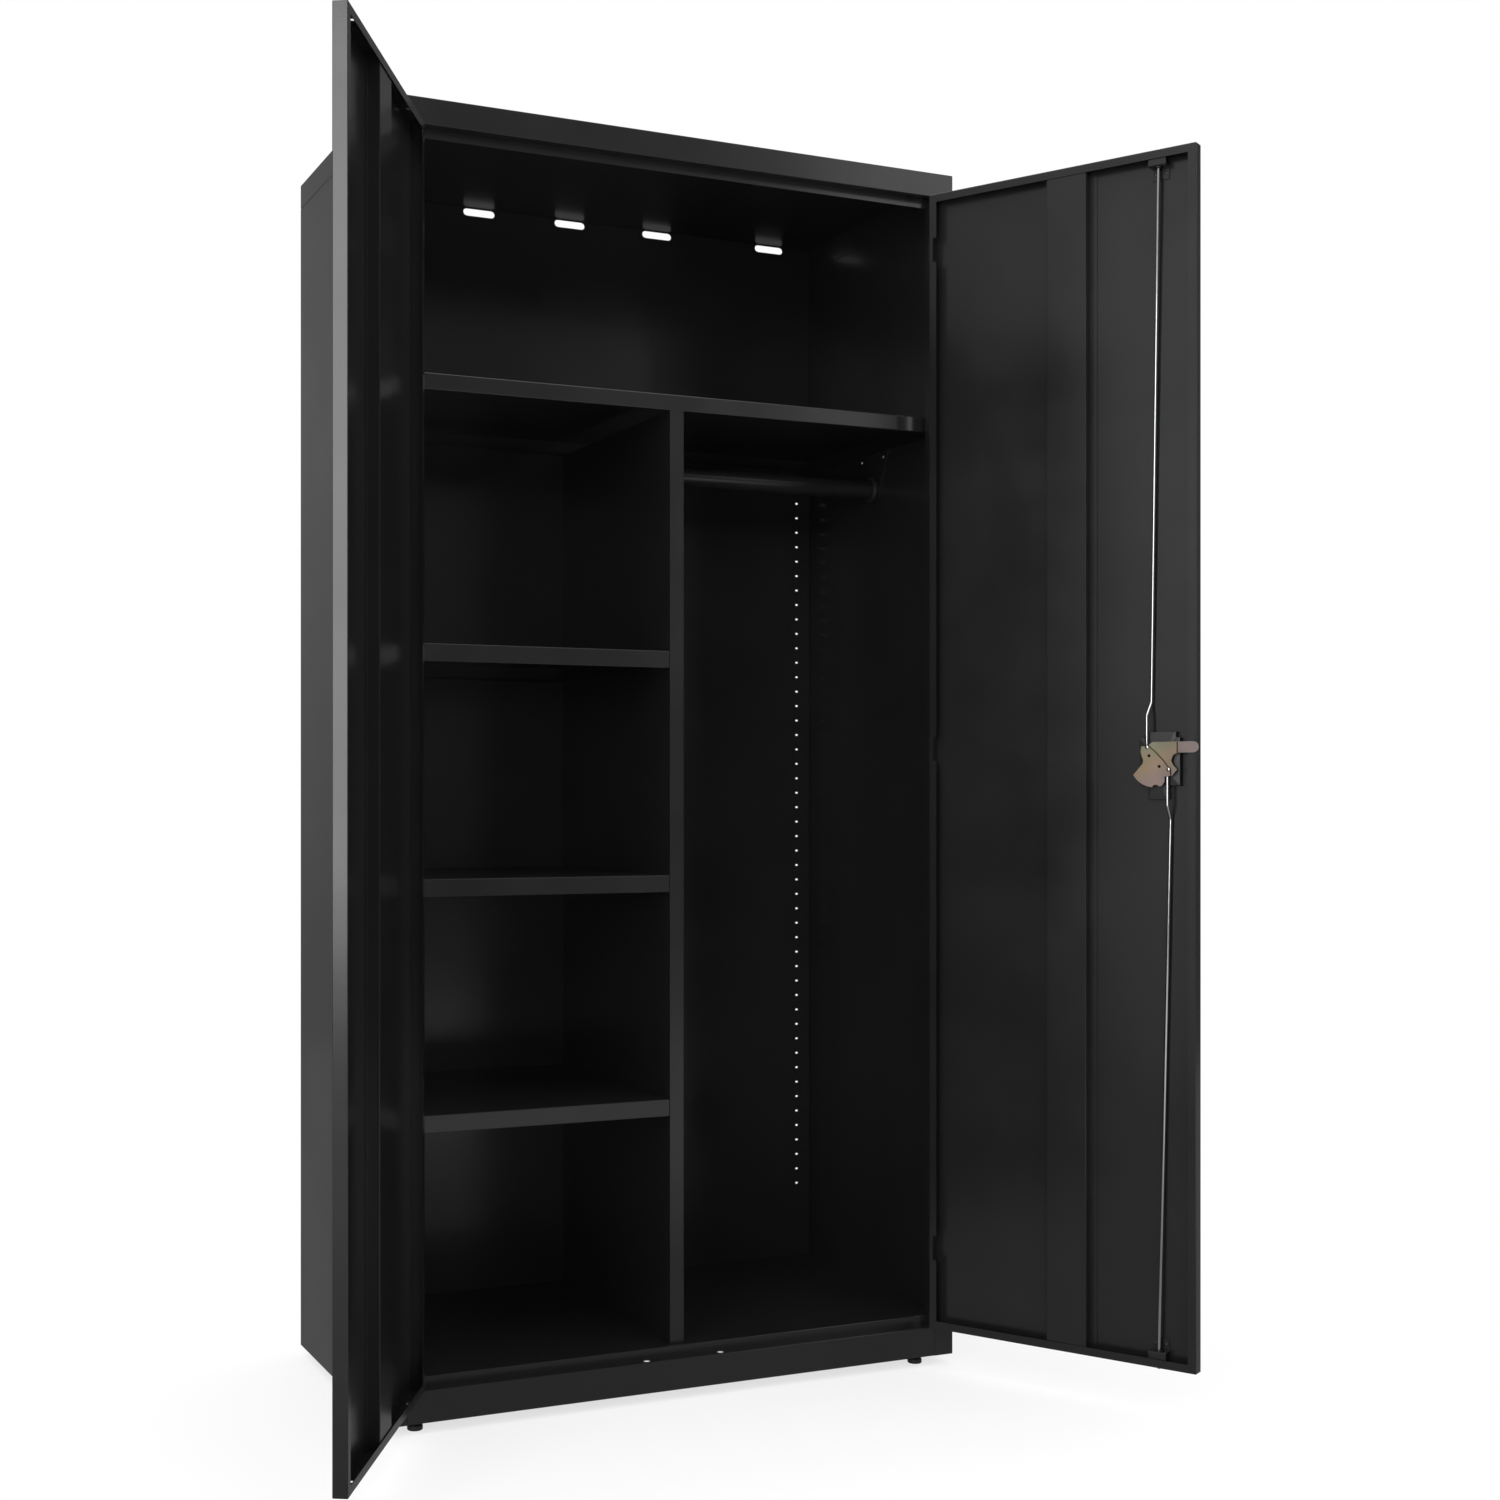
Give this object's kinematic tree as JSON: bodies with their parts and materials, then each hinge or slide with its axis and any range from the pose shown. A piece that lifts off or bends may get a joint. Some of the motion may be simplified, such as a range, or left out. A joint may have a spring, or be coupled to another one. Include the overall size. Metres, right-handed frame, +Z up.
{
  "type": "wardrobe cabinet",
  "caption": "Tall steel wardrobe cabinet with hinged doors, a three-point rod latch, a top shelf, a bay of shelves on clips and a hanging bay with a garment rod, on levelling feet.",
  "frame": {"origin": "floor level under the middle of the bounding box, with both doors open as in the picture", "axes": "+Z up, +Y from the doors towards the back panel, +X to the right seen from the front"},
  "size_m": [1.261, 0.8454, 1.8438],
  "materials": {
    "black_enamel": "near-black satin powder coat, slightly glossy",
    "bright_zinc": "bright zinc plate",
    "yellow_zinc": "yellow passivated zinc plate, iridescent",
    "black_plastic": "matt black",
    "steel_pin": "plain steel"
  },
  "bodies": {
    "cabinet": {"back_panel": "black_enamel", "divider": "black_enamel", "floor_pan": "black_enamel", "foot_front_left": "black_plastic", "foot_front_right": "black_plastic", "foot_rear_left": "black_plastic", "foot_rear_right": "black_plastic", "garment_rod": "black_enamel", "half_shelf_1": "black_enamel", "half_shelf_2": "black_enamel", "half_shelf_3": "black_enamel", "left_hinge_1_frame_leaf": "black_enamel", "left_hinge_1_pin": "steel_pin", "left_hinge_2_frame_leaf": "black_enamel", "left_hinge_2_pin": "steel_pin", "left_hinge_3_frame_leaf": "black_enamel", "left_hinge_3_pin": "steel_pin", "left_side": "black_enamel", "right_hinge_1_frame_leaf": "black_enamel", "right_hinge_1_pin": "steel_pin", "right_hinge_2_frame_leaf": "black_enamel", "right_hinge_2_pin": "steel_pin", "right_hinge_3_frame_leaf": "black_enamel", "right_hinge_3_pin": "steel_pin", "right_side": "black_enamel", "rod_bracket_left": "black_enamel", "rod_bracket_right": "black_enamel", "shelf_clip_1_front_divider": "black_enamel", "shelf_clip_1_front_wall": "black_enamel", "shelf_clip_1_rear_divider": "black_enamel", "shelf_clip_1_rear_wall": "black_enamel", "shelf_clip_2_front_divider": "black_enamel", "shelf_clip_2_front_wall": "black_enamel", "shelf_clip_2_rear_divider": "black_enamel", "shelf_clip_2_rear_wall": "black_enamel", "shelf_clip_3_front_divider": "black_enamel", "shelf_clip_3_front_wall": "black_enamel", "shelf_clip_3_rear_divider": "black_enamel", "shelf_clip_3_rear_wall": "black_enamel", "top_cap": "black_enamel", "upper_shelf": "black_enamel"},
    "left_door": {"left_door_pan": "black_enamel", "left_door_stiffener": "black_enamel", "left_hinge_1_door_leaf": "black_enamel", "left_hinge_2_door_leaf": "black_enamel", "left_hinge_3_door_leaf": "black_enamel"},
    "right_door": {"right_door_pan": "black_enamel", "right_door_stiffener": "black_enamel", "right_hinge_1_door_leaf": "black_enamel", "right_hinge_2_door_leaf": "black_enamel", "right_hinge_3_door_leaf": "black_enamel", "handle_housing": "black_plastic", "upper_guide": "black_enamel", "lower_guide": "black_enamel"},
    "handle": {"lever_handle": "black_plastic", "cam_plate": "yellow_zinc", "latch_arm": "yellow_zinc"},
    "lock_plug": {"lock_plug": "bright_zinc"},
    "upper_rod": {"upper_rod": "bright_zinc"},
    "lower_rod": {"lower_rod": "bright_zinc"}
  },
  "joints": [
    {"name": "left_door_hinge", "type": "hinge", "parent": "cabinet", "child": "left_door", "pos_m": [-0.423, -0.03904, 0.9285], "axis": [0, 0, -1], "range_deg": [-120, 55]},
    {"name": "right_door_hinge", "type": "hinge", "parent": "cabinet", "child": "right_door", "pos_m": [0.423, -0.03904, 0.9285], "axis": [0, 0, 1], "range_deg": [-120, 55]},
    {"name": "handle_turn", "type": "hinge", "parent": "right_door", "child": "handle", "pos_m": [0.59248, -0.35919, 0.9285], "axis": [-0.866, -0.5, 0], "range_deg": [-20, 70]},
    {"name": "lock_turn", "type": "hinge", "parent": "handle", "child": "lock_plug", "pos_m": [0.59248, -0.35919, 0.9285], "axis": [-0.866, -0.5, 0], "range_deg": [0, 90]},
    {"name": "upper_rod_slide", "type": "slide", "parent": "right_door", "child": "upper_rod", "axis": [0.0035, -0.0161, 0.9999], "range_m": [-0.0248, 0.0071]},
    {"name": "lower_rod_slide", "type": "slide", "parent": "right_door", "child": "lower_rod", "axis": [0.0146, -0.0152, 0.9998], "range_m": [-0.0071, 0.0248]}
  ],
  "couplings": [
    {"joint": "upper_rod_slide", "follows": "handle_turn", "m_per_rad": -0.0202},
    {"joint": "lower_rod_slide", "follows": "handle_turn", "m_per_rad": 0.0202}
  ]
}
